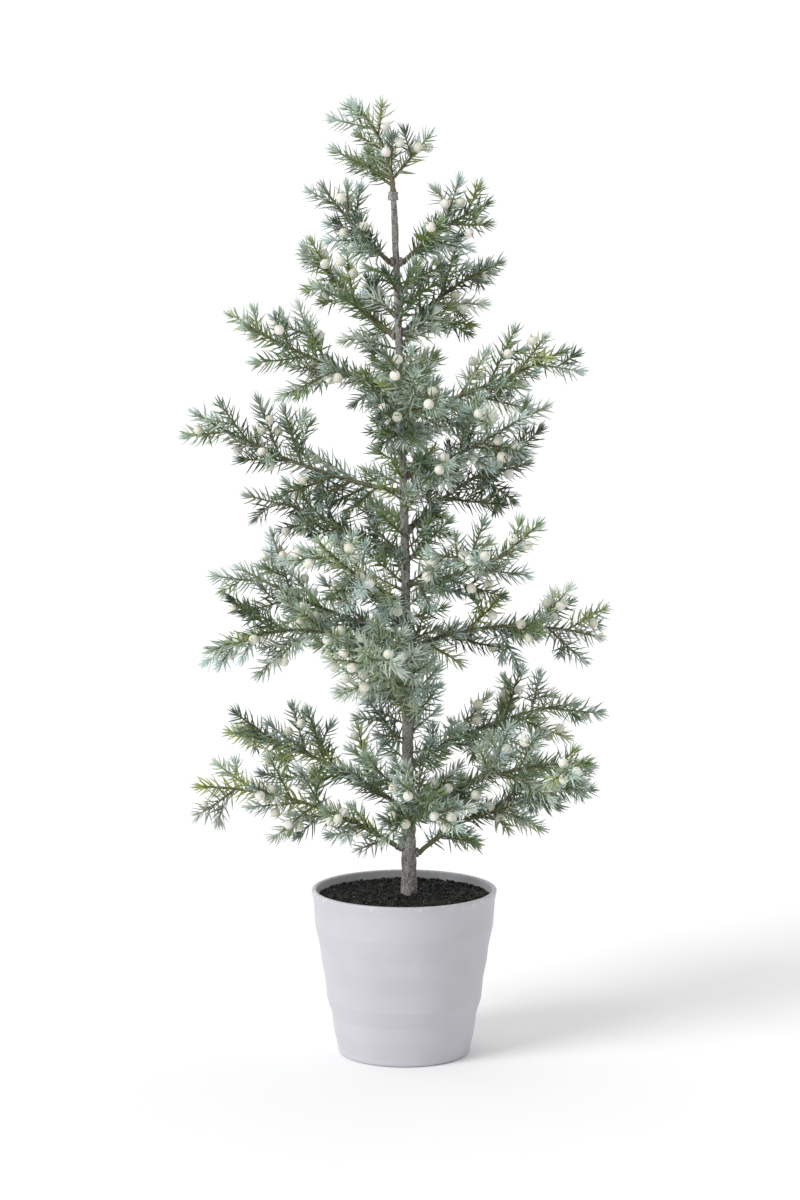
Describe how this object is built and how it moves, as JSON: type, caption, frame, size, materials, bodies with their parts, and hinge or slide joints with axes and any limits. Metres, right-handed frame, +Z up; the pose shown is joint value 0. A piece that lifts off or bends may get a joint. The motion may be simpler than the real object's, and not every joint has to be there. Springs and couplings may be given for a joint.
{
  "type": "artificial tabletop tree",
  "caption": "Small artificial evergreen in a banded pot: leaning bark trunk, bendable wire branches with frosted needles and pale berries, and a bendable leader.",
  "frame": {"origin": "centre of the pot's underside, on the surface that the tree stands on", "axes": "+Z up along the trunk, -Y towards the front, +X to the right seen from the front"},
  "size_m": [0.2654, 0.2304, 0.6036],
  "materials": {
    "pot_shell": "satin pale cool grey moulded shell, slight speckle, soft wear on the band edges",
    "cement": "rough cast cement, out of sight",
    "dry_foam": "dry floral foam, out of sight",
    "soil": "loose near-black peat and bark crumbs glued down, with a few pale flecks",
    "steel": "plain steel rod, out of sight",
    "bark": "rough grey-brown moulded bark dusted with white frost",
    "foliage": "moulded needles, dark to yellow green, tips frosted blue-white",
    "berry": "cream balls with a fine white frost"
  },
  "bodies": {
    "potted_trunk": {"pot": "pot_shell", "ballast_weight": "cement", "foam_plug": "dry_foam", "soil_layer": "soil", "trunk_rod": "steel", "trunk_bark": "bark", "branch_collars": "bark", "trunk_sprigs": "foliage"},
    "branch_01": {"branch_01": "foliage", "berries_01": "berry"},
    "branch_02": {"branch_02": "foliage", "berries_02": "berry"},
    "branch_03": {"branch_03": "foliage", "berries_03": "berry"},
    "branch_04": {"branch_04": "foliage", "berries_04": "berry"},
    "branch_05": {"branch_05": "foliage", "berries_05": "berry"},
    "branch_06": {"branch_06": "foliage", "berries_06": "berry"},
    "branch_07": {"branch_07": "foliage", "berries_07": "berry"},
    "branch_08": {"branch_08": "foliage", "berries_08": "berry"},
    "branch_09": {"branch_09": "foliage", "berries_09": "berry"},
    "branch_10": {"branch_10": "foliage", "berries_10": "berry"},
    "branch_11": {"branch_11": "foliage", "berries_11": "berry"},
    "branch_12": {"branch_12": "foliage", "berries_12": "berry"},
    "branch_13": {"branch_13": "foliage", "berries_13": "berry"},
    "branch_14": {"branch_14": "foliage", "berries_14": "berry"},
    "branch_15": {"branch_15": "foliage", "berries_15": "berry"},
    "branch_16": {"branch_16": "foliage", "berries_16": "berry"},
    "branch_17": {"branch_17": "foliage", "berries_17": "berry"},
    "branch_18": {"branch_18": "foliage", "berries_18": "berry"},
    "branch_19": {"branch_19": "foliage", "berries_19": "berry"},
    "branch_20": {"branch_20": "foliage", "berries_20": "berry"},
    "branch_21": {"branch_21": "foliage", "berries_21": "berry"},
    "branch_22": {"branch_22": "foliage", "berries_22": "berry"},
    "branch_23": {"branch_23": "foliage", "berries_23": "berry"},
    "branch_24": {"branch_24": "foliage", "berries_24": "berry"},
    "branch_25": {"branch_25": "foliage", "berries_25": "berry"},
    "leader": {"leader": "foliage", "leader_berries": "berry"}
  },
  "joints": [
    {"name": "branch_01_bend", "type": "hinge", "parent": "potted_trunk", "child": "branch_01", "pos_m": [-0.00956, -0.00048, 0.507], "axis": [-0.1045, 0.9945, 0], "range_deg": [-30, 20]},
    {"name": "branch_02_bend", "type": "hinge", "parent": "potted_trunk", "child": "branch_02", "pos_m": [-0.00045, 0.00032, 0.507], "axis": [0.0698, -0.9976, 0], "range_deg": [-30, 16]},
    {"name": "branch_03_bend", "type": "hinge", "parent": "potted_trunk", "child": "branch_03", "pos_m": [-0.00741, 0.00264, 0.461], "axis": [0.5592, 0.829, 0], "range_deg": [-30, 12]},
    {"name": "branch_04_bend", "type": "hinge", "parent": "potted_trunk", "child": "branch_04", "pos_m": [0.00005, 0.00303, 0.463], "axis": [0.6428, -0.766, 0], "range_deg": [-30, 20]},
    {"name": "branch_05_bend", "type": "hinge", "parent": "potted_trunk", "child": "branch_05", "pos_m": [-0.00709, -0.00133, 0.427], "axis": [-0.2756, 0.9613, 0], "range_deg": [-28, 30]},
    {"name": "branch_06_bend", "type": "hinge", "parent": "potted_trunk", "child": "branch_06", "pos_m": [0.00293, -0.00043, 0.411], "axis": [-0.0872, -0.9962, 0], "range_deg": [-22, 26]},
    {"name": "branch_07_bend", "type": "hinge", "parent": "potted_trunk", "child": "branch_07", "pos_m": [-0.00107, -0.0049, 0.4], "axis": [-0.9945, -0.1045, 0], "range_deg": [-30, 30]},
    {"name": "branch_08_bend", "type": "hinge", "parent": "potted_trunk", "child": "branch_08", "pos_m": [-0.00133, 0.00495, 0.392], "axis": [1, 0, 0], "range_deg": [-22, 30]},
    {"name": "branch_09_bend", "type": "hinge", "parent": "potted_trunk", "child": "branch_09", "pos_m": [0.00322, -0.00309, 0.373], "axis": [-0.6157, -0.788, 0], "range_deg": [-30, 20]},
    {"name": "branch_10_bend", "type": "hinge", "parent": "potted_trunk", "child": "branch_10", "pos_m": [-0.00547, 0, 0.363], "axis": [0, 1, 0], "range_deg": [-30, 16]},
    {"name": "branch_11_bend", "type": "hinge", "parent": "potted_trunk", "child": "branch_11", "pos_m": [0.00388, 0.00365, 0.338], "axis": [0.7071, -0.7071, 0], "range_deg": [-30, 20]},
    {"name": "branch_12_bend", "type": "hinge", "parent": "potted_trunk", "child": "branch_12", "pos_m": [-0.00342, 0.00351, 0.325], "axis": [0.6691, 0.7431, 0], "range_deg": [-30, 30]},
    {"name": "branch_13_bend", "type": "hinge", "parent": "potted_trunk", "child": "branch_13", "pos_m": [0.00424, -0.00416, 0.304], "axis": [-0.7771, -0.6293, 0], "range_deg": [-30, 22]},
    {"name": "branch_14_bend", "type": "hinge", "parent": "potted_trunk", "child": "branch_14", "pos_m": [-0.00181, -0.00459, 0.294], "axis": [-0.848, 0.5299, 0], "range_deg": [-30, 30]},
    {"name": "branch_15_bend", "type": "hinge", "parent": "potted_trunk", "child": "branch_15", "pos_m": [-0.00373, 0.0018, 0.27], "axis": [0.3256, 0.9455, 0], "range_deg": [-30, 10]},
    {"name": "branch_16_bend", "type": "hinge", "parent": "potted_trunk", "child": "branch_16", "pos_m": [0.0072, -0.00029, 0.264], "axis": [-0.0523, -0.9986, 0], "range_deg": [-30, 30]},
    {"name": "branch_17_bend", "type": "hinge", "parent": "potted_trunk", "child": "branch_17", "pos_m": [-0.00351, -0.00203, 0.252], "axis": [-0.3584, 0.9336, 0], "range_deg": [-30, 12]},
    {"name": "branch_18_bend", "type": "hinge", "parent": "potted_trunk", "child": "branch_18", "pos_m": [0.00033, -0.00554, 0.236], "axis": [-0.9613, 0.2756, 0], "range_deg": [-30, 16]},
    {"name": "branch_19_bend", "type": "hinge", "parent": "potted_trunk", "child": "branch_19", "pos_m": [0.00143, 0.00583, 0.222], "axis": [0.9945, 0.1045, 0], "range_deg": [-30, 30]},
    {"name": "branch_20_bend", "type": "hinge", "parent": "potted_trunk", "child": "branch_20", "pos_m": [0.00752, 0.00323, 0.188], "axis": [0.5299, -0.848, 0], "range_deg": [-12, 30]},
    {"name": "branch_21_bend", "type": "hinge", "parent": "potted_trunk", "child": "branch_21", "pos_m": [-0.00325, 0.00274, 0.16], "axis": [0.4226, 0.9063, 0], "range_deg": [-16, 30]},
    {"name": "branch_22_bend", "type": "hinge", "parent": "potted_trunk", "child": "branch_22", "pos_m": [0.00845, -0.00284, 0.16], "axis": [-0.4384, -0.8988, 0], "range_deg": [-26, 24]},
    {"name": "branch_23_bend", "type": "hinge", "parent": "potted_trunk", "child": "branch_23", "pos_m": [0.0037, -0.0067, 0.148], "axis": [-0.9903, -0.1392, 0], "range_deg": [-30, 30]},
    {"name": "branch_24_bend", "type": "hinge", "parent": "potted_trunk", "child": "branch_24", "pos_m": [-0.00408, -0.00123, 0.134], "axis": [-0.1736, 0.9848, 0], "range_deg": [-20, 12]},
    {"name": "branch_25_bend", "type": "hinge", "parent": "potted_trunk", "child": "branch_25", "pos_m": [0.00985, 0.00198, 0.13], "axis": [0.2756, -0.9613, 0], "range_deg": [-20, 10]},
    {"name": "leader_bend", "type": "hinge", "parent": "potted_trunk", "child": "leader", "pos_m": [-0.00701, 0, 0.5514], "axis": [0, 1, 0], "range_deg": [-30, 30]}
  ]
}
